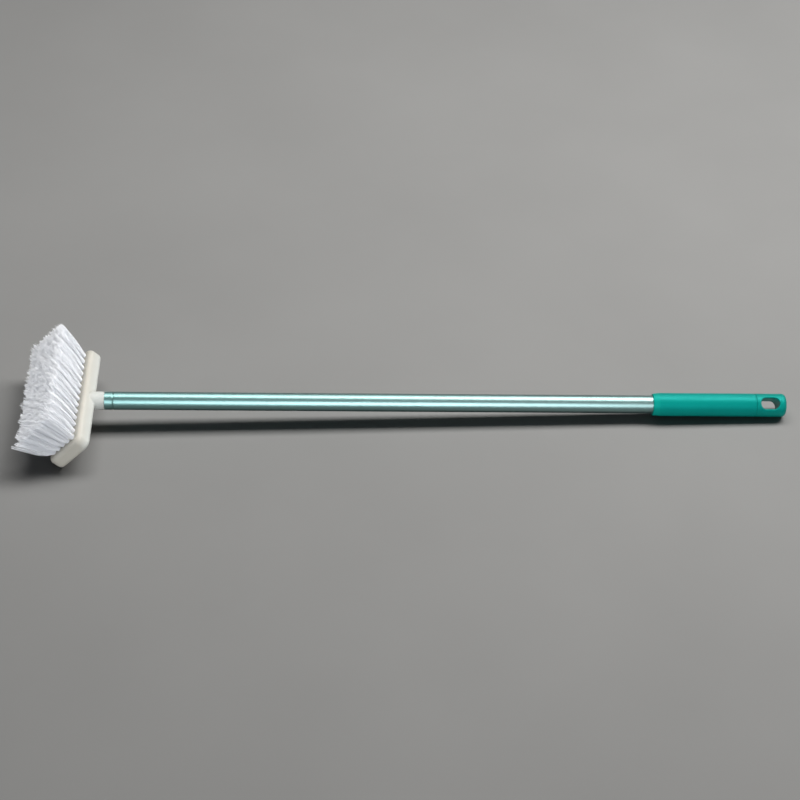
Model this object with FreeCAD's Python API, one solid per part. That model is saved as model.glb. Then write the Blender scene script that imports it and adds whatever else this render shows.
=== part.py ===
import FreeCAD, Part
import math
import os

from FreeCAD import Vector

# Hand brush for pool walls: a bristle head set at an angle on the end of a straight tube with a
# plastic grip. Millimetres. The origin of the finished parts is on the handle axis at the middle
# of the grip's barrel. +X runs along the handle from the head to the grip, +Y along the length of
# the head, +Z up. The bristles point towards -X and +Z. Dimensions below count x from the head
# end of the tube, and write() moves every part by ORIGIN_X.

X, Y, Z = Vector(1, 0, 0), Vector(0, 1, 0), Vector(0, 0, 1)
OVERSHOOT = 1.0                   # how far cutting cylinders pass an open end
FLAT_TOL = 0.01                   # an edge this flat lies in one plane
SURFACE_TOL = 0.02                # an edge this close lies on a cylinder

# ---- head block ----
BRISTLE_ANGLE = math.radians(43.2)    # between the bristle direction and -X
BLOCK_L = 190.4                   # along Y
BLOCK_W = 63.9
BLOCK_T = 21.3
BLOCK_CORNER_R = 11.5             # plan corners
BLOCK_EDGE_R = 6.1                # rounding of both rims
BACK = Vector(-32.5, 0, -20.6)    # centre of the back face
FACE_NORMAL = Vector(-math.cos(BRISTLE_ANGLE), 0, math.sin(BRISTLE_ANGLE))
FACE_ACROSS = Vector(-math.sin(BRISTLE_ANGLE), 0, -math.cos(BRISTLE_ANGLE))    # to the lower edge
FACE = BACK + FACE_NORMAL * BLOCK_T

# ---- neck and washer ----
WASHER_T = 0.8
WASHER_R = 12.2
WASHER_HOLE_GAP = 0.1             # hole radius beyond the socket groove's
NECK_R = 12.45
NECK_ROOT_X = -22.5
NECK_MOUTH_X = -WASHER_T
MOUTH_CHAMFER = 0.35
NECK_BLEND_R = 1.6
SEAM_MAX_X = -3.0                 # the seam lies wholly below this x
SEAM_MIN_WIDTH = 4.0              # and is wider than this along Y

# ---- right-hand trapezoidal thread, single start ----
PITCH = 5.0
MALE_CORE_R = 7.7
MALE_CREST_R = 9.4
THREAD_CLEAR = 0.2
RIDGE_SINK = 0.6                  # how far a ridge reaches inside its core radius
FLANK_SLOPE = math.tan(math.radians(20.0))
CREST_HALF = 0.85                 # half widths along the axis
ROOT_HALF = CREST_HALF + FLANK_SLOPE * (MALE_CREST_R - MALE_CORE_R)
SOCKET_END_X = -20.3
SOCKET_BORE_R = MALE_CORE_R + THREAD_CLEAR
GROOVE_R = MALE_CREST_R + THREAD_CLEAR
GROOVE_X0 = SOCKET_END_X + 2.3
GROOVE_TURNS = 4
RUN_IN_L = 1.2                    # plain bore at the mouth
RUN_IN_GAP = 0.15
MALE_THREAD_X1 = -2.0

# ---- bristles ----
RANKS = 14                        # along the head
ROWS = 5                          # across the head
ROOT_PITCH_L, ROOT_PITCH_W = 12.8, 9.6
TIP_PITCH_L, TIP_PITCH_W = 14.75, 13.5
TIP_SHIFT_W = 0.9                 # the trimmed face sits slightly towards the lower edge
TUFT_H = 53.3                     # free length measured square to the face
HOLE_R = 3.0
HOLE_DEPTH = 13.0
HOLE_OVERRUN = 6.0                # drill length outside the face
TUFT_R = 2.95
TUFT_END_GAP = 0.05               # between a stem and its hole's bottom
TIP_R = 6.45                      # radius of a tuft at the trimmed face
FLARE_START = 1.5                 # distance from the root to the start of the cone
TIP_OVERRUN = 6.0                 # cone length removed by trimming
TRIM_SIZE, TRIM_T = 60.0, 20.0    # trimming box
ANCHOR_T, ANCHOR_H, ANCHOR_HALF_L = 0.45, 2.0, 2.9
ANCHOR_UP = 1.4                   # height of the anchor above the hole's bottom
SLOT_GAP, SLOT_END_GAP = 0.03, 0.6    # slot around the anchor: its faces, its ends

# ---- tube ----
TUBE_R = 12.5
TUBE_WALL = 1.2
TUBE_INNER_R = TUBE_R - TUBE_WALL
TUBE_END_X = 897.0
TUBE_BEVEL = 0.25
CRIMP_X = 11.5                    # rolled groove that holds the plug
CRIMP_D = 0.55
# Crimp sections: (x from CRIMP_X, depth below the plain radius).
CRIMP_OUTSIDE = [
    (-1.1, 0), (-0.75, 0.12), (-0.45, 0.8 * CRIMP_D), (0, CRIMP_D),
    (0.45, 0.8 * CRIMP_D), (0.75, 0.12), (1.1, 0)]
CRIMP_INSIDE = [
    (-1.5, 0), (-0.8, 0.3), (-0.3, CRIMP_D),
    (0.3, CRIMP_D), (0.8, 0.3), (1.5, 0)]

# ---- threaded plug ----
PLUG_TIP_X = -18.5
PLUG_TIP_BEVEL = 1.0
PLUG_END_X = 32.0
PLUG_END_TAPER_L, PLUG_END_TAPER_D = 1.5, 1.2
PLUG_BORE_R = 6.0
PLUG_BORE_X0 = 2.0                # closed end of the bore

# ---- grip ----
GRIP_X0, GRIP_X1 = 755.2, 899.0
GRIP_R = 16.0
GRIP_BORE_R = TUBE_R + 0.02
GRIP_EDGE_R = 0.9                 # also on the cap's matching rim
COLLAR_L = 9.3
COLLAR_R = 15.1
COLLAR_EDGE_R = 1.0
COLLAR_BEVEL_L, COLLAR_BEVEL_D = 0.6, 0.16
ORIGIN_X = (GRIP_X0 + COLLAR_L + GRIP_X1 - GRIP_EDGE_R) / 2

# ---- hanging cap ----
CAP_X1 = 941.2
CAP_END_R = 5.5
SPIGOT_X0 = 868.0
SPIGOT_BORE_R = 8.0
SPIGOT_TAPER_L, SPIGOT_TAPER_D = 1.5, 0.8
SHOULDER_X = TUBE_END_X + 0.5     # the spigot widens here
SHOULDER_R = TUBE_R - 0.4
SPIGOT_OVERLAP = 0.2              # into the cap's body
HANG_X = 918.0
HANG_L, HANG_W = 26.0, 15.8
HANG_TILT = math.radians(53.0)    # hole axis above the XY plane, leaning to -Y
HANG_CUT_L = 60.0
HANG_RIM_R = 1.1


# ---- helpers ----
def cylinder(radius, x0, x1):
    """Cylinder on the X axis."""
    return Part.makeCylinder(radius, x1 - x0, Vector(x0, 0, 0), X)


def closed_face(points):
    return Part.Face(Part.makePolygon(points + points[:1]))


def revolved(profile):
    """Closed profile of (x, radius) points turned about the X axis."""
    return closed_face([Vector(x, 0, radius) for x, radius in profile]).revolve(Vector(), X, 360)


def arc_points(center_x, center_r, radius, start, end, steps=6):
    """Profile points on an arc between two angles in degrees."""
    angles = [math.radians(start + (end - start) * i / steps) for i in range(steps + 1)]
    return [(center_x + radius * math.cos(a), center_r + radius * math.sin(a)) for a in angles]


def crimp_points(section, radius):
    return [(CRIMP_X + x, radius - depth) for x, depth in section]


def ring_edges(shape, x):
    """Edges lying in the plane square to X at x."""
    return [e for e in shape.Edges
            if e.BoundBox.XLength < FLAT_TOL and abs(e.BoundBox.XMin - x) < FLAT_TOL]


def on_cylinder(points, radius):
    return all(abs(math.hypot(p.y, p.z) - radius) < SURFACE_TOL for p in points)


def fillet_if_sound(shape, radius, is_wanted):
    # The fillet can fail on curved seams; the edges then stay sharp.
    try:
        rounded = shape.makeFillet(radius, [e for e in shape.Edges if is_wanted(e)])
        if rounded.isValid() and len(rounded.Solids) == 1:
            return rounded
    except Exception:
        pass
    return shape


def biggest(shape):
    return max(shape.Solids, key=lambda solid: solid.Volume)


def thread_ridge(clearance, x0, x1):
    """Helical ridge on the X axis: the male thread, grown by the clearance."""
    core_r = MALE_CORE_R + clearance
    crest_r = MALE_CREST_R + clearance
    crest_half = CREST_HALF + clearance
    base_half = ROOT_HALF + clearance + FLANK_SLOPE * RIDGE_SINK
    base_r = core_r - RIDGE_SINK
    corners = [Vector(base_r, 0, -base_half), Vector(crest_r, 0, -crest_half),
               Vector(crest_r, 0, crest_half), Vector(base_r, 0, base_half)]
    section = Part.makePolygon(corners + corners[:1])
    helix = Part.makeHelix(PITCH, x1 - x0, core_r)
    ridge = Part.Wire(helix.Edges).makePipeShell([section], True, True)
    # The helix is built up +Z: turn it to run along +X.
    ridge.Placement = FreeCAD.Placement(Vector(x0, 0, 0), FreeCAD.Rotation(Z, X))
    return ridge


def write(name, shape):
    """Move a part to the final origin and save it."""
    shape = shape.copy()
    shape.translate(Vector(-ORIGIN_X, 0, 0))
    assert shape.isValid(), name
    shape.exportStep("parts/" + name + ".step")


# ---- tufts and anchors ----
def tuft_frame(rank, row):
    """Root point on the face, direction out of the hole, sideways direction and tip centre."""
    along = rank - (RANKS - 1) / 2.0
    across = row - (ROWS - 1) / 2.0
    root = FACE + Y * (along * ROOT_PITCH_L) + FACE_ACROSS * (across * ROOT_PITCH_W)
    tip = (FACE + FACE_NORMAL * TUFT_H + Y * (along * TIP_PITCH_L)
           + FACE_ACROSS * (across * TIP_PITCH_W + TIP_SHIFT_W))
    direction = tip - root
    direction.normalize()
    side = Y - direction * Y.dot(direction)
    side.normalize()
    return root, direction, side, tip


def anchor(rank, row, gap=0.0, end_gap=0.0):
    """Flat anchor across a tuft's stem, grown by a gap on its faces and on its ends."""
    root, direction, side, _ = tuft_frame(rank, row)
    thickness = ANCHOR_T + 2 * gap
    half = ANCHOR_HALF_L + end_gap
    across = direction.cross(side)
    base = root - direction * (HOLE_DEPTH - ANCHOR_UP + gap)
    corner = base - side * half - across * (thickness / 2)
    far_corner = corner + side * (2 * half)
    outline = [corner, far_corner, far_corner + across * thickness, corner + across * thickness]
    return closed_face(outline).extrude(direction * (ANCHOR_H + 2 * gap))


def tuft(rank, row):
    """Round stem in its hole, then a cone that widens to the trim parallel to the face."""
    root, direction, side, tip = tuft_frame(rank, row)
    free = (tip - root).Length
    slope = (TIP_R - TUFT_R) / (free - FLARE_START)
    far = free + TIP_OVERRUN
    far_r = TUFT_R + slope * (far - FLARE_START)
    bottom = root - direction * (HOLE_DEPTH - TUFT_END_GAP)
    profile = [bottom, bottom + side * TUFT_R,
               root + direction * FLARE_START + side * TUFT_R,
               root + direction * far + side * far_r,
               root + direction * far]
    body = closed_face(profile).revolve(root, direction, 360)
    trim = Part.makeBox(TRIM_SIZE, TRIM_SIZE, TRIM_T, Vector(-TRIM_SIZE / 2, -TRIM_SIZE / 2, 0))
    trim.Placement = FreeCAD.Placement(tip, FreeCAD.Rotation(Z, FACE_NORMAL))
    slot = anchor(rank, row, SLOT_GAP, SLOT_END_GAP)
    return biggest(body.cut(trim).cut(slot))


def tuft_rank(rank):
    return Part.makeCompound([tuft(rank, row) for row in range(ROWS)])


def tuft_anchors():
    return Part.makeCompound([anchor(i, j) for i in range(RANKS) for j in range(ROWS)])


# ---- head ----
def slab():
    """Rounded block, laid with its local x across the face and local z along the bristles."""
    block = Part.makeBox(BLOCK_W, BLOCK_L, BLOCK_T, Vector(-BLOCK_W / 2, -BLOCK_L / 2, 0))
    corners = [e for e in block.Edges if abs(e.tangentAt(e.FirstParameter).z) > 0.99]
    block = block.makeFillet(BLOCK_CORNER_R, corners)
    rims = [e for e in block.Edges if e.BoundBox.ZLength < FLAT_TOL]
    block = block.makeFillet(BLOCK_EDGE_R, rims)
    rotation = FreeCAD.Rotation(FACE_ACROSS, FACE_NORMAL.cross(FACE_ACROSS), FACE_NORMAL, "ZXY")
    block.Placement = FreeCAD.Placement(BACK, rotation)
    return block


def is_neck_seam(edge):
    return (edge.BoundBox.XMax < SEAM_MAX_X and edge.BoundBox.YLength > SEAM_MIN_WIDTH
            and on_cylinder(edge.discretize(9), NECK_R))


def tuft_hole(rank, row):
    root, direction, _, _ = tuft_frame(rank, row)
    bottom = root - direction * HOLE_DEPTH
    return Part.makeCylinder(HOLE_R, HOLE_DEPTH + HOLE_OVERRUN, bottom, direction)


def brush_block():
    neck = cylinder(NECK_R, NECK_ROOT_X, NECK_MOUTH_X)
    neck = neck.makeChamfer(MOUTH_CHAMFER, ring_edges(neck, NECK_MOUTH_X))
    head = fillet_if_sound(slab().fuse(neck), NECK_BLEND_R, is_neck_seam)
    holes = [tuft_hole(i, j) for i in range(RANKS) for j in range(ROWS)]
    head = head.cut(Part.makeCompound(holes))

    # Threaded socket: clear bore, helical groove and a plain run-in at the mouth.
    head = head.cut(cylinder(SOCKET_BORE_R, SOCKET_END_X, OVERSHOOT))
    head = head.cut(thread_ridge(THREAD_CLEAR, GROOVE_X0, GROOVE_X0 + GROOVE_TURNS * PITCH))
    head = head.cut(cylinder(GROOVE_R + RUN_IN_GAP, NECK_MOUTH_X - RUN_IN_L, OVERSHOOT))
    return biggest(head)


def neck_washer():
    hole = cylinder(GROOVE_R + WASHER_HOLE_GAP, -WASHER_T - OVERSHOOT, OVERSHOOT)
    return cylinder(WASHER_R, -WASHER_T, 0.0).cut(hole)


# ---- handle ----
def handle_tube():
    outer = ([(TUBE_BEVEL, TUBE_R)] + crimp_points(CRIMP_OUTSIDE, TUBE_R)
             + [(TUBE_END_X, TUBE_R)])
    inner = ([(TUBE_END_X, TUBE_INNER_R)] + crimp_points(CRIMP_INSIDE, TUBE_INNER_R)[::-1]
             + [(0.0, TUBE_INNER_R)])
    return revolved(outer + inner + [(0.0, TUBE_R - TUBE_BEVEL)])


def threaded_plug():
    stud = [(PLUG_TIP_X, 0), (PLUG_TIP_X, MALE_CORE_R - PLUG_TIP_BEVEL),
            (PLUG_TIP_X + PLUG_TIP_BEVEL, MALE_CORE_R), (0.0, MALE_CORE_R)]
    barrel = [(0.0, TUBE_INNER_R)] + crimp_points(CRIMP_INSIDE, TUBE_INNER_R)
    barrel += [(PLUG_END_X - PLUG_END_TAPER_L, TUBE_INNER_R),
               (PLUG_END_X, TUBE_INNER_R - PLUG_END_TAPER_D)]
    bore = [(PLUG_END_X, PLUG_BORE_R), (PLUG_BORE_X0, PLUG_BORE_R), (PLUG_BORE_X0, 0)]
    plug = revolved(stud + barrel + bore)
    # The male ridge starts half a turn later on the same helix as the socket's groove.
    thread = thread_ridge(0.0, GROOVE_X0 + PITCH / 2, MALE_THREAD_X1)
    thread.rotate(Vector(), X, 180)
    return biggest(plug.fuse(thread))


def grip_sleeve():
    collar = arc_points(GRIP_X0 + COLLAR_EDGE_R, COLLAR_R - COLLAR_EDGE_R, COLLAR_EDGE_R, 180, 95)
    collar_end = GRIP_X0 + COLLAR_L
    step = [(collar_end - COLLAR_BEVEL_L, GRIP_R - COLLAR_BEVEL_D), (collar_end, GRIP_R)]
    rear = arc_points(GRIP_X1 - GRIP_EDGE_R, GRIP_R - GRIP_EDGE_R, GRIP_EDGE_R, 90, 0)
    return revolved([(GRIP_X0, GRIP_BORE_R)] + collar + step + rear + [(GRIP_X1, GRIP_BORE_R)])


# ---- hanging cap ----
def hang_hole():
    """Tilted cutter with a slot outline: two straights along X joined by half circles."""
    axis = Vector(0, -math.cos(HANG_TILT), math.sin(HANG_TILT))
    side = axis.cross(X)
    radius = HANG_W / 2
    x0 = HANG_X - (HANG_L / 2 - radius)
    x1 = HANG_X + (HANG_L / 2 - radius)

    def at(x, offset):
        return Vector(x, 0, 0) + side * offset - axis * (HANG_CUT_L / 2)

    outline = Part.Wire([
        Part.LineSegment(at(x0, radius), at(x1, radius)).toShape(),
        Part.Arc(at(x1, radius), at(x1 + radius, 0), at(x1, -radius)).toShape(),
        Part.LineSegment(at(x1, -radius), at(x0, -radius)).toShape(),
        Part.Arc(at(x0, -radius), at(x0 - radius, 0), at(x0, radius)).toShape()])
    return Part.Face(outline).extrude(axis * HANG_CUT_L)


def is_hang_rim(edge):
    points = edge.discretize(7)
    return (all(abs(p.x - HANG_X) < HANG_L / 2 + 0.05 for p in points)
            and on_cylinder(points, GRIP_R))


def hang_cap():
    cap = cylinder(GRIP_R, GRIP_X1, CAP_X1)
    cap = cap.makeFillet(CAP_END_R, ring_edges(cap, CAP_X1))
    cap = cap.makeFillet(GRIP_EDGE_R, ring_edges(cap, GRIP_X1))
    cap = fillet_if_sound(cap.cut(hang_hole()), HANG_RIM_R, is_hang_rim)
    spigot_end = GRIP_X1 + SPIGOT_OVERLAP
    spigot = revolved([
        (SPIGOT_X0, SPIGOT_BORE_R), (SPIGOT_X0, TUBE_INNER_R - SPIGOT_TAPER_D),
        (SPIGOT_X0 + SPIGOT_TAPER_L, TUBE_INNER_R), (SHOULDER_X, TUBE_INNER_R),
        (SHOULDER_X, SHOULDER_R), (spigot_end, SHOULDER_R), (spigot_end, SPIGOT_BORE_R)])
    return biggest(cap.fuse(spigot))


os.makedirs("parts", exist_ok=True)
write("brush_block", brush_block())
for i in range(RANKS):
    write("tuft_rank_%02d" % (i + 1), tuft_rank(i))
write("tuft_anchors", tuft_anchors())
write("neck_washer", neck_washer())
write("handle_tube", handle_tube())
write("threaded_plug", threaded_plug())
write("grip_sleeve", grip_sleeve())
write("hang_cap", hang_cap())
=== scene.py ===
# A wide brush on a long handle, in metres, +Z up. The handle lies along X: the head is at the -X end
# and the row frame's origin is in the grip. The head runs along Y, and its bristle face looks
# up and away from the handle. It holds 14 ranks of tufts along the head, 5 rows across it.
import math
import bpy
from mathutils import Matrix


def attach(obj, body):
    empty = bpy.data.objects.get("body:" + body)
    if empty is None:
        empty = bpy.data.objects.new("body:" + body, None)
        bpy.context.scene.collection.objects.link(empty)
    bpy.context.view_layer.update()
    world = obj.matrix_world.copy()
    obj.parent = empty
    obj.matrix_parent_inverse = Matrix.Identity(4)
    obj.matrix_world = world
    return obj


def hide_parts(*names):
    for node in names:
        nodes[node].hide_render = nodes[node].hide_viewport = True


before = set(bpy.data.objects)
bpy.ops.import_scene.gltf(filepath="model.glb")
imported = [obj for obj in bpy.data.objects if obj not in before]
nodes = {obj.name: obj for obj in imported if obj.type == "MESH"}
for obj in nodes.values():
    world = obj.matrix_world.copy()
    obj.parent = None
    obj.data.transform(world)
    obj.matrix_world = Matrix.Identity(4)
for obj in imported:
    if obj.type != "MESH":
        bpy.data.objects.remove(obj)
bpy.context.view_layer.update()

from types import SimpleNamespace

import bpy
import numpy as np
from mathutils import Matrix, Vector

# ---- layout ----------------------------------------------------------------------------------
HEAD_END = -0.8313                  # x of the tube's head end
GRIP_COLLAR = -0.0668               # x where the grip's collar band ends
TUBE_GROOVE = 0.0115                # rolled groove, from the head end

FACE_TILT = math.radians(43.2)      # the bristle face looks this far above -X
OUT = np.array([-math.cos(FACE_TILT), 0.0, math.sin(FACE_TILT)])    # out of the face
DOWN = np.array([-math.sin(FACE_TILT), 0.0, -math.cos(FACE_TILT)])  # across it, to the lower edge
ALONG = np.array([0.0, 1.0, 0.0])                                   # along the head
FACE_RISE = 0.0213                  # from a point inside the block out to the face
FACE = np.array([HEAD_END - 0.0325, 0.0, -0.0206]) + OUT * FACE_RISE


# ---- helpers ---------------------------------------------------------------------------------
class Material:
    """A Principled material; each method adds a node and returns its output."""

    def __init__(self, name):
        self.material = bpy.data.materials.new(name)
        self.material.use_nodes = True
        self.tree = self.material.node_tree
        self.tree.nodes.clear()
        self.output = self.node("ShaderNodeOutputMaterial")
        self.shader = self.node("ShaderNodeBsdfPrincipled")
        self.link(self.shader.outputs[0], self.output.inputs[0])
        self.position = self.node("ShaderNodeTexCoord").outputs["Object"]

    def node(self, kind, **settings):
        node = self.tree.nodes.new(kind)
        for key, value in settings.items():
            setattr(node, key, value)
        return node

    def link(self, source, socket):
        self.tree.links.new(source, socket)

    def feed(self, socket, value):
        """Link a node output to the socket, or store a plain value in it."""
        if hasattr(value, "links"):
            self.link(value, socket)
        else:
            socket.default_value = value

    def set(self, name, value):
        self.feed(self.shader.inputs[name], value)

    def stretched(self, scale):
        mapping = self.node("ShaderNodeMapping")
        mapping.inputs["Scale"].default_value = scale
        self.link(self.position, mapping.inputs["Vector"])
        return mapping.outputs[0]

    def noise(self, scale, detail=3.0, roughness=0.5, vector=None):
        noise = self.node("ShaderNodeTexNoise")
        noise.inputs["Scale"].default_value = scale
        noise.inputs["Detail"].default_value = detail
        noise.inputs["Roughness"].default_value = roughness
        self.link(self.position if vector is None else vector, noise.inputs["Vector"])
        return noise.outputs["Fac"]

    def remap(self, value, span, to):
        """Carry the range span onto the range to, clamped."""
        remap = self.node("ShaderNodeMapRange")
        for socket, limit in zip(remap.inputs[1:5], (*span, *to)):
            socket.default_value = limit
        self.link(value, remap.inputs[0])
        return remap.outputs[0]

    def mix(self, base, over, amount):
        mix = self.node("ShaderNodeMix", data_type="RGBA")
        # in colour mode the factor is input 0 and the two colours are 6 and 7
        for index, value in ((0, amount), (6, base), (7, over)):
            self.feed(mix.inputs[index], value)
        return mix.outputs[2]

    def math(self, operation, a, b=0.0):
        node = self.node("ShaderNodeMath", operation=operation)
        for socket, value in zip(node.inputs, (a, b, 0.0)):
            self.feed(socket, value)
        return node.outputs[0]

    def axis(self, name):
        split = self.node("ShaderNodeSeparateXYZ")
        self.link(self.position, split.inputs[0])
        return split.outputs[name]

    def bump(self, height, strength, distance):
        bump = self.node("ShaderNodeBump")
        bump.inputs["Strength"].default_value = strength
        bump.inputs["Distance"].default_value = distance
        self.link(height, bump.inputs["Height"])
        self.link(bump.outputs[0], self.shader.inputs["Normal"])


def rgb(*srgb):
    """sRGB 0-255 to a linear colour."""
    linear = []
    for c in srgb:
        c /= 255.0
        linear.append(c / 12.92 if c <= 0.04045 else ((c + 0.055) / 1.055) ** 2.4)
    return (*linear, 1.0)


def paint(obj, material):
    obj.data.materials.clear()
    obj.data.materials.append(material)


def mesh_object(name, verts, faces):
    mesh = bpy.data.meshes.new(name)
    mesh.from_pydata(verts, [], faces)
    mesh.update()
    return linked(name, mesh)


def linked(name, data):
    obj = bpy.data.objects.new(name, data)
    bpy.context.scene.collection.objects.link(obj)
    return obj


def at(x, y, z):
    """A point given from the tube's head end."""
    return Vector((HEAD_END + x, y, z))


# ---- materials -------------------------------------------------------------------------------
def cream_plastic():
    m = Material("cream_moulded_plastic")
    blotch = m.remap(m.noise(scale=14.0, detail=4.0, roughness=0.6), span=(0.3, 0.7), to=(0.0, 1.0))
    colour = m.mix(rgb(171, 167, 157), rgb(176, 173, 164), amount=blotch)
    # faint flow lines of the moulding, along the head
    flow = m.noise(scale=9.0, detail=2.0, vector=m.stretched((3.0, 0.6, 3.0)))
    flow = m.remap(flow, span=(0.45, 0.75), to=(0.0, 0.3))
    colour = m.mix(colour, rgb(167, 163, 152), amount=flow)
    # the round neck is coloured whiter and more neutral than the block
    neck = m.remap(m.axis("X"), span=(HEAD_END - 0.026, HEAD_END - 0.014), to=(0.0, 1.0))
    colour = m.mix(colour, rgb(176, 178, 174), amount=neck)
    # painted shade: ambient occlusion darkens the low and occluded places, where the bristles and
    # edges shade the block
    occlusion = m.node("ShaderNodeAmbientOcclusion", samples=6)
    occlusion.inputs["Distance"].default_value = 0.006
    painted_shade = m.remap(occlusion.outputs["AO"], span=(0.35, 0.95), to=(0.5, 0.0))
    colour = m.mix(colour, rgb(144, 141, 131), amount=painted_shade)
    m.set("Base Color", colour)
    sheen = m.noise(scale=60.0, detail=5.0, roughness=0.6)
    m.set("Roughness", m.remap(sheen, span=(0.3, 0.7), to=(0.48, 0.60)))
    m.set("Subsurface Weight", 0.12)
    m.set("Subsurface Radius", (0.004, 0.0035, 0.003))
    m.set("Subsurface Scale", 1.0)
    m.set("IOR", 1.47)
    fine = m.noise(scale=2600.0, detail=2.0)
    broad = m.noise(scale=90.0, detail=2.0)
    height = m.math("ADD", m.math("MULTIPLY", fine, 0.25), broad)
    m.bump(height, strength=0.2, distance=0.0003)
    return m.material


def bristle():
    m = Material("white_bristle_filament")
    shade = m.node("ShaderNodeNewGeometry").outputs["Random Per Island"]
    m.set("Base Color", m.mix(rgb(242, 242, 243), rgb(254, 254, 254), amount=shade))
    m.set("Roughness", m.remap(shade, span=(0.0, 1.0), to=(0.3, 0.5)))
    m.set("IOR", 1.5)
    # a faint glow and translucency keep the bundle bright inside
    m.set("Emission Color", (0.93, 0.95, 1.0, 1.0))
    m.set("Emission Strength", 0.02)
    translucent = m.node("ShaderNodeBsdfTranslucent")
    translucent.inputs["Color"].default_value = rgb(245, 248, 253)
    blend = m.node("ShaderNodeMixShader")
    blend.inputs[0].default_value = 0.32        # share of the translucent shader
    m.link(m.shader.outputs[0], blend.inputs[1])
    m.link(translucent.outputs[0], blend.inputs[2])
    m.link(blend.outputs[0], m.output.inputs[0])
    m.bump(m.noise(scale=900.0, detail=2.0), strength=0.15, distance=0.0001)
    return m.material


def anodised():
    m = Material("teal_anodised_aluminium")
    x = m.math("SUBTRACT", m.axis("X"), HEAD_END)
    fade = m.remap(x, span=(0.0, 0.6), to=(0.0, 1.0))
    colour = m.mix((0.085, 0.262, 0.252, 1.0), (0.115, 0.24, 0.232, 1.0), amount=fade)
    # extrusion lines along the tube and slow changes of the dye
    lines = m.noise(scale=420.0, roughness=0.6, vector=m.stretched((0.004, 1.0, 1.0)))
    tone = m.noise(scale=5.0, roughness=0.6, vector=m.stretched((1.0, 2.0, 2.0)))
    tone = m.remap(tone, span=(0.3, 0.7), to=(0.0, 0.3))
    colour = m.mix(colour, (0.092, 0.238, 0.228, 1.0), amount=tone)
    streaks = m.remap(lines, span=(0.5, 0.75), to=(0.0, 0.08))
    colour = m.mix(colour, (0.24, 0.33, 0.32, 1.0), amount=streaks)
    # painted shade: the rolled groove and a narrow band beside it are painted darker and greener
    distance = m.math("ABSOLUTE", m.math("SUBTRACT", x, TUBE_GROOVE))
    groove_shade = m.remap(distance, span=(0.0004, 0.0022), to=(1.0, 0.0))
    colour = m.mix(colour, (0.05, 0.20, 0.18, 1.0), amount=m.math("MULTIPLY", groove_shade, 0.6))
    m.set("Base Color", colour)
    m.set("Metallic", 1.0)
    m.set("Roughness", m.remap(lines, span=(0.3, 0.7), to=(0.385, 0.405)))
    m.set("Coat Weight", 1.0)
    m.set("Coat IOR", 2.0)
    m.set("Coat Roughness", 0.37)
    return m.material


def teal_plastic(name, light, dark, collar=None):
    """Teal plastic; left of x = collar, if given, it is tinted a little greener."""
    m = Material(name)
    tone = m.remap(m.noise(scale=22.0, detail=4.0, roughness=0.6), span=(0.3, 0.7), to=(0.0, 1.0))
    colour = m.mix(light, dark, amount=tone)
    edge = m.node("ShaderNodeNewGeometry").outputs["Pointiness"]
    worn = m.remap(edge, span=(0.54, 0.62), to=(0.0, 0.15))
    colour = m.mix(colour, rgb(96, 196, 184), amount=worn)
    if collar is not None:
        band = m.remap(m.axis("X"), span=(collar - 0.0004, collar + 0.0004), to=(1.0, 0.0))
        colour = m.mix(colour, rgb(20, 160, 136), amount=m.math("MULTIPLY", band, 0.16))
    m.set("Base Color", colour)
    sheen = m.noise(scale=70.0, detail=5.0, roughness=0.6)
    m.set("Roughness", m.remap(sheen, span=(0.3, 0.7), to=(0.42, 0.52)))
    m.set("IOR", 1.48)
    m.set("Specular Tint", (0.05, 1.0, 0.94, 1.0))
    m.set("Subsurface Weight", 0.04)
    m.set("Subsurface Radius", (0.0015, 0.003, 0.0028))
    m.set("Subsurface Scale", 1.0)
    grain = m.node("ShaderNodeTexVoronoi")
    grain.inputs["Scale"].default_value = 1500.0
    m.link(m.position, grain.inputs["Vector"])
    m.bump(grain.outputs["Distance"], strength=0.2, distance=0.0001)
    return m.material


def mottled(name, light, dark, roughness, metallic=0.0, scale=120.0):
    m = Material(name)
    tone = m.remap(m.noise(scale), span=(0.35, 0.7), to=(0.0, 1.0))
    m.set("Base Color", m.mix(light, dark, amount=tone))
    sheen = m.noise(scale * 2)
    m.set("Roughness", m.remap(sheen, span=(0.3, 0.7), to=(roughness - 0.05, roughness + 0.08)))
    m.set("Metallic", metallic)
    m.bump(m.noise(scale * 10, detail=2.0), strength=0.1, distance=0.0001)
    return m.material


def floor_material():
    m = Material("pale_floor")
    tone = m.remap(m.noise(scale=3.0, detail=4.0), span=(0.3, 0.7), to=(0.0, 1.0))
    m.set("Base Color", m.mix(rgb(129, 129, 128), rgb(133, 133, 132), amount=tone))
    m.set("Roughness", 0.75)
    m.set("Specular IOR Level", 0.25)
    m.bump(m.noise(scale=400.0), strength=0.05, distance=0.001)
    # the light falls off away from the brush; a glow keeps the far floor as pale as the near one
    x, y = m.axis("X"), m.axis("Y")
    x_squared = m.math("POWER", m.math("ADD", x, 0.4), 2.0)
    distance = m.math("SQRT", m.math("ADD", x_squared, m.math("POWER", y, 2.0)))
    m.set("Emission Color", (1.0, 0.995, 0.985, 1.0))
    m.set("Emission Strength", m.remap(distance, span=(1.5, 5.0), to=(0.0, 0.30)))
    return m.material


MATERIALS = {
    "brush_block": cream_plastic(),
    "handle_tube": anodised(),
    "grip_sleeve": teal_plastic("teal_grip_plastic", rgb(0, 117, 108), rgb(0, 110, 102),
                                collar=GRIP_COLLAR),
    "hang_cap": teal_plastic("teal_cap_plastic", rgb(3, 115, 105), rgb(1, 108, 99)),
    "neck_washer": mottled("grey_washer_rubber", rgb(160, 166, 163), rgb(140, 147, 144),
                           roughness=0.6),
    "threaded_plug": mottled("plug_moulded_plastic", rgb(226, 227, 222), rgb(214, 215, 210),
                             roughness=0.42),
    "tuft_anchors": mottled("flat_anchor_wire", rgb(190, 188, 182), rgb(160, 158, 150),
                            roughness=0.3, metallic=1.0, scale=400.0),
}
bristle_material = bristle()

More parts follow.
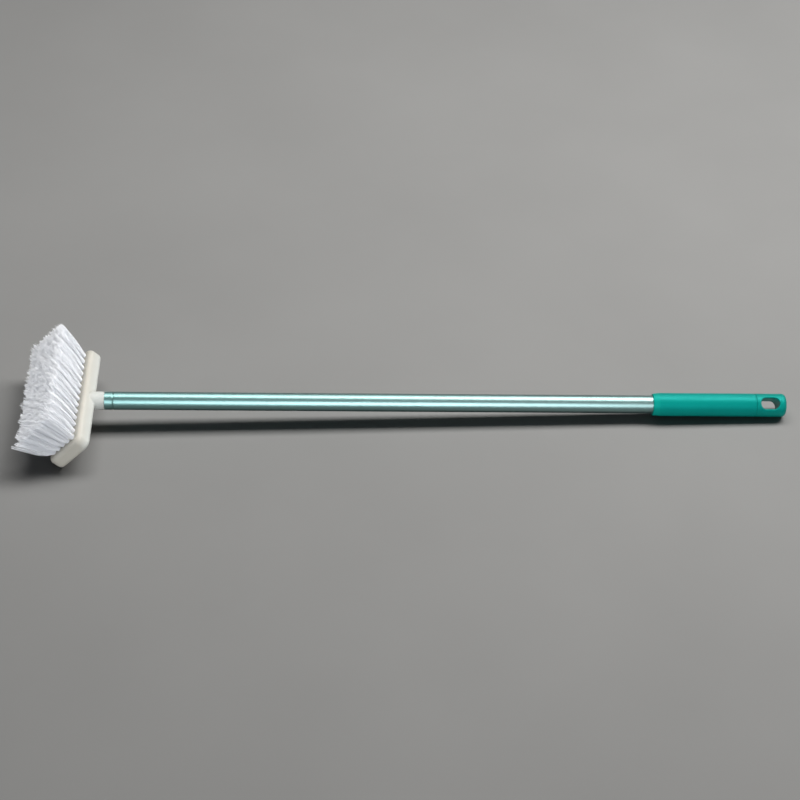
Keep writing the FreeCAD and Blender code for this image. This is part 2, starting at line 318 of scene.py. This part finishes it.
for name, material in MATERIALS.items():
    if name in nodes:
        paint(nodes[name], material)
for name, node in nodes.items():
    if name.startswith("tuft_rank"):
        paint(node, bristle_material)

# ---- bristles: each filament is a thin rod, bundled in its hole and fanned towards the tip ---
RANKS, ROWS = 14, 5
ROOT_PITCH = (0.0128, 0.0096)       # hole spacing along and across the head
TIP_PITCH = (0.01475, 0.0135)       # the same for the tuft tips
TIP_DROP = 0.0009                   # all tips sit this much lower across the face
TUFT_HEIGHT = 0.0533
TIP_RADII = (0.0072, 0.0067)        # half size of a fanned tip, along and across
BUNDLE_RADIUS = 0.0029 - 0.0003     # hole radius less the gap for the filaments' thickness
ROOT_DEPTH = 0.0112                 # filament feet below the face
MOUTH_RISE = 0.0004                 # where the fan starts, above the face

FILAMENTS, SIDES, STEPS = 132, 4, 8
FILAMENT_RADIUS = 0.000258
CLUMPS = 18                         # clumps per tuft
CLUMP_PULL = 0.28                   # how far tips move towards their clump's centre
GOLDEN_ANGLE = 2.399963
PHASE_TURN = 6.283                  # a full turn, for random angles and the crimp
RING_TURN = 6.283185                # a full turn, for the rod's sides

# Standard deviations of the random variation, in metres unless noted.
TUFT_LEAN = (0.0007, 0.0006, 0.0006)    # tuft tip along, across and out
TUFT_BOW = 0.0003
CLUMP_LENGTH, CLUMP_BOW = 0.0014, 0.0001
HOLE_ANGLE, HOLE_REACH = 0.12, 0.03     # packing: radians, share of the radius
SPREAD = 0.09                           # share of the tip radii
TIP_PLACE, TIP_TRIM = 0.0003, 0.0009
FILAMENT_BOW = 0.0002

# Wear along the head, as (rank, shift towards +Y): of the tips, and of the tufts' middles.
SWEEP = ((0, 0.0098), (2, 0.0090), (4, 0.0105), (7, 0.0118), (9, 0.0095), (11, 0.0045), (13, 0.0))
BOW = ((0, 0.0014), (3, 0.0012), (6, 0.0014), (9, 0.0010), (11, 0.0004), (13, 0.0))

RISE = np.linspace(0.0, 1.0, STEPS)         # share of the way from mouth to tip
FAN = 1.0 - (1.0 - RISE) ** 1.9             # the fan opens soon after the hole
QUICK_FAN = 1.0 - (1.0 - RISE) ** 6.0
ARCH = np.sin(math.pi * RISE ** 1.16)
MIDDLE = 4 * RISE * (1 - RISE)


def make_tuft(rank, row, rng):
    """One tuft's axis, frame and clumps."""
    rank_place = rank - (RANKS - 1) / 2.0
    row_place = row - (ROWS - 1) / 2.0
    root = FACE + ALONG * (rank_place * ROOT_PITCH[0]) + DOWN * (row_place * ROOT_PITCH[1])
    tip = (FACE + OUT * TUFT_HEIGHT + ALONG * (rank_place * TIP_PITCH[0])
           + DOWN * (row_place * TIP_PITCH[1] + TIP_DROP))
    axis = (tip - root) / np.linalg.norm(tip - root)
    side = ALONG - axis * ALONG.dot(axis)
    side /= np.linalg.norm(side)
    # use has combed the upper rows along the head; the lower ones stand straight
    upper = (1.0 - row / (ROWS - 1.0)) ** 0.7
    sweep = np.interp(rank, *zip(*SWEEP)) * upper
    bow = np.interp(rank, *zip(*BOW)) * upper
    # hand-filled tufts never match: each leans and stands a little differently
    tip = (tip + ALONG * (sweep + rng.normal(0, TUFT_LEAN[0]))
           + DOWN * rng.normal(0, TUFT_LEAN[1]) + OUT * rng.normal(0, TUFT_LEAN[2]))
    bow += rng.normal(0, TUFT_BOW)
    # towards the tips the filaments gather in small clumps
    reach = np.sqrt(rng.uniform(0.02, 1.0, CLUMPS))
    angle = rng.uniform(0, PHASE_TURN, CLUMPS)
    return SimpleNamespace(
        rank=rank, row=row, root=root, tip=tip, axis=axis, side=side,
        across=np.cross(axis, side), bow=bow,
        clumps=np.stack([reach * np.cos(angle), reach * np.sin(angle)], 1),
        clump_length=rng.normal(0, CLUMP_LENGTH, CLUMPS),
        clump_bow=rng.normal(0, CLUMP_BOW, (CLUMPS, 2)),
    )


def filament_path(tuft, index, rng):
    """Points from the filament's foot in the hole to its tip."""
    # sunflower packing in the hole, loosened a little; u runs along the head, v across it
    reach = math.sqrt((index + 0.5) / FILAMENTS)
    angle = index * GOLDEN_ANGLE + rng.normal(0, HOLE_ANGLE)
    reach = min(1.0, reach + rng.normal(0, HOLE_REACH))
    u, v = reach * math.cos(angle), reach * math.sin(angle)
    mouth = (tuft.side * u + tuft.across * v) * BUNDLE_RADIUS
    foot = tuft.root - tuft.axis * ROOT_DEPTH + mouth

    spread = 1.0 + rng.normal(0, SPREAD)
    shift_u, shift_v = rng.normal(0, TIP_PLACE, 2)
    place = np.array([u, v])
    near = int(np.argmin(((tuft.clumps - place) ** 2).sum(axis=1)))
    tip_u, tip_v = place + (tuft.clumps[near] - place) * CLUMP_PULL
    offset = (ALONG * (tip_u * TIP_RADII[0] * spread + shift_u)
              + DOWN * (tip_v * TIP_RADII[1] * spread + shift_v)
              + OUT * tuft.clump_length[near])
    if tuft.row == 0 and v < 0:
        # wear has rounded the upper edge, less so in the last two ranks
        wear = 0.35 if tuft.rank > 11 else 1.0
        offset = offset - OUT * (0.0038 * wear * v * v)
    # trimmed tips, a little uneven; a few filaments stand short
    trim = rng.normal(0, TIP_TRIM) + (rng.random() < 0.08) * rng.uniform(0.001, 0.007)
    offset = offset - OUT * trim
    if tuft.rank == 0 and tuft.row == ROWS - 1 and v > 0.80 and u < 0.35:
        # the lower corner at the -Y end has been pushed down in use
        offset = offset + DOWN * 0.0060 + OUT * 0.0025

    # sideways bow and a faint crimp
    bow = rng.normal(0, FILAMENT_BOW, 2) + tuft.clump_bow[near]
    phase = rng.uniform(0, PHASE_TURN)
    wavelength = rng.uniform(0.011, 0.018)
    crimp = abs(rng.normal(0.00007, 0.00004))
    wave = phase + RISE * TUFT_HEIGHT / wavelength * PHASE_TURN
    centre = (np.outer(1 - RISE, tuft.root + tuft.axis * MOUTH_RISE) + np.outer(RISE, tuft.tip)
              + np.outer(tuft.bow * ARCH, ALONG))
    # the outer filaments of the first rank spread at once and close the end face
    fan = QUICK_FAN if tuft.rank == 0 and u < 0.1 else FAN
    path = centre + np.outer(1 - fan, mouth) + np.outer(fan, offset)
    path += np.outer(bow[0] * MIDDLE + crimp * RISE * np.sin(wave), tuft.side)
    path += np.outer(bow[1] * MIDDLE + crimp * RISE * np.cos(wave + 0.7 * phase), tuft.across)
    return np.vstack([foot[None, :], path])


def add_rod(verts, faces, path, side, radius, spin):
    """Append a closed rod that follows the path."""
    tangent = np.gradient(path, axis=0)
    tangent /= np.linalg.norm(tangent, axis=1)[:, None]
    u = np.cross(tangent, side)
    u /= np.linalg.norm(u, axis=1)[:, None]
    v = np.cross(tangent, u)
    radii = np.full(len(path), radius)
    radii[-1] *= 0.9
    angles = spin + RING_TURN * np.arange(SIDES) / SIDES
    rings = path[:, None, :] + (u[:, None, :] * np.cos(angles)[None, :, None]
                                + v[:, None, :] * np.sin(angles)[None, :, None]
                                ) * radii[:, None, None]
    base = len(verts)
    verts.extend(rings.reshape(-1, 3).tolist())
    last = base + (len(path) - 1) * SIDES
    for ring in range(base, last, SIDES):
        for a in range(SIDES):
            b = (a + 1) % SIDES
            faces.append((ring + a, ring + b, ring + SIDES + b, ring + SIDES + a))
    faces.append(tuple(range(base, base + SIDES))[::-1])
    faces.append(tuple(range(last, last + SIDES)))


def filament_bundle(name, rank, rng):
    """All the filaments of one rank as a single mesh."""
    verts, faces = [], []
    for row in range(ROWS):
        tuft = make_tuft(rank, row, rng)
        for index in range(FILAMENTS):
            path = filament_path(tuft, index, rng)
            radius = FILAMENT_RADIUS * rng.uniform(0.9, 1.12)
            spin = rng.uniform(0, 1.57)
            add_rod(verts, faces, path, tuft.side, radius, spin)
    obj = mesh_object(name, verts, faces)
    polygons = obj.data.polygons
    polygons.foreach_set("use_smooth", [True] * len(polygons))
    return obj


rng = np.random.default_rng(41)
for rank in range(RANKS):
    piece = filament_bundle("bristles_%02d" % (rank + 1), rank, rng)
    paint(piece, bristle_material)
    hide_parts("tuft_rank_%02d" % (rank + 1))
    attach(piece, "head")


# ---- floor: the brush lies on the block's lower edge and the grip, so the floor leans --------
def make_floor():
    slope = 0.0256                              # rise towards the grip, about 1.5 degrees
    centre_x, centre_z = HEAD_END + 0.9357, -0.0161
    half = 14.0
    material = floor_material()
    corners = []
    for sx, sy in ((-1, -1), (1, -1), (1, 1), (-1, 1)):
        x = centre_x + sx * half
        corners.append((x, sy * half, centre_z + (x - centre_x) * slope))
    obj = mesh_object("floor", corners, [(0, 1, 2, 3)])
    paint(obj, material)
    return obj


# ---- lights: a long soft key overhead and behind, and fills that leave the floor unlit -------
off_floor = bpy.data.collections.new("flagged_off_the_floor")
off_floor.objects.link(make_floor())
off_floor.collection_objects[0].light_linking.link_state = "EXCLUDE"

HANDLE, HEAD = at(0.4, 0.0, 0.0), at(0.0, 0.0, 0.0)     # what the lights aim at
WARM, WHITE, COOL = (1.0, 0.99, 0.975), (1.0, 1.0, 1.0), (0.94, 0.97, 1.0)

# name, place from the head end, aim, (long side, short or upright side), watts, colour, lights floor
LIGHTS = (
    ("key", (0.95, 0.90, 2.62), HANDLE, (3.8, 1.0), 101.0, WARM, True),
    ("key_grip_side", (1.8, 0.82, 2.42), HANDLE, (1.8, 0.95), 44.0, WARM, True),
    ("rim", (0.6, 2.3, 1.95), HANDLE, (5.0, 0.8), 28.0, WHITE, False),
    ("front", (0.45, -3.05, 1.38), HANDLE, (1.4, 2.0), 84.0, COOL, False),
    ("front_top", (0.45, -1.5, 3.0), HANDLE, (4.0, 1.6), 6.0, (0.98, 0.99, 1.0), False),
    ("right_fill", (2.6, -1.2, 1.2), HEAD, (1.2, 1.2), 7.0, (0.97, 0.985, 1.0), False),
    ("left_fill", (-2.7, -1.3, 0.8), HEAD, (1.2, 1.0), 15.0, COOL, False),
)


def area_light(name, place, aim, size, power, colour, lights_floor):
    data = bpy.data.lights.new(name, "AREA")
    data.shape = "RECTANGLE"
    data.size, data.size_y = size
    data.energy = power
    data.color = colour
    obj = linked(name, data)
    obj.location = at(*place)
    obj.rotation_mode = "QUATERNION"
    back = (at(*place) - aim).normalized()
    # the first side runs along the handle as nearly as the aim allows
    side = (Vector((1, 0, 0)) - back * back.x).normalized()
    rotation = Matrix((side, back.cross(side), back)).transposed()
    obj.rotation_quaternion = rotation.to_quaternion()
    if not lights_floor:
        obj.light_linking.receiver_collection = off_floor


for light in LIGHTS:
    area_light(*light)


# ---- world and render settings ---------------------------------------------------------------
def make_world():
    """A pale backdrop to the camera, and a faint fill for everything else."""
    world = bpy.data.worlds.new("studio")
    world.use_nodes = True
    tree = world.node_tree
    background = tree.nodes["Background"]
    background.inputs[0].default_value = (0.92, 0.95, 1.0, 1.0)
    ray = tree.nodes.new("ShaderNodeLightPath")
    strength = tree.nodes.new("ShaderNodeMapRange")
    strength.inputs[3].default_value = 0.055    # fill
    strength.inputs[4].default_value = 0.42     # seen by the camera
    tree.links.new(ray.outputs["Is Camera Ray"], strength.inputs[0])
    tree.links.new(strength.outputs[0], background.inputs[1])
    return world


scene = bpy.context.scene
scene.world = make_world()
scene.view_settings.view_transform = "Standard"
scene.view_settings.look = "None"
scene.view_settings.exposure = 0.0
scene.cycles.max_bounces = 16
scene.cycles.diffuse_bounces = 12


# ---- camera: on the -Y side, looking down at the head ----------------------------------------
def make_camera():
    pitch, yaw, roll = math.radians(41.91), math.radians(-3.34), math.radians(2.63)
    forward = Vector((-math.sin(yaw) * math.cos(pitch), math.cos(yaw) * math.cos(pitch),
                      -math.sin(pitch)))
    level = Vector((math.cos(yaw), math.sin(yaw), 0.0))
    upright = level.cross(forward)
    right = level * math.cos(roll) + upright * math.sin(roll)
    up = upright * math.cos(roll) - level * math.sin(roll)
    data = bpy.data.cameras.new("camera")
    data.sensor_width = 36.0
    data.lens = 85.36725
    data.clip_start, data.clip_end = 0.05, 60.0
    data.shift_x, data.shift_y = 0.0003375, -0.000125
    obj = linked("camera", data)
    rotation = Matrix((right, up, -forward)).transposed()
    obj.matrix_world = Matrix.Translation(at(0.2910, -1.9429, 1.7521)) @ rotation.to_4x4()
    return obj


scene.camera = make_camera()
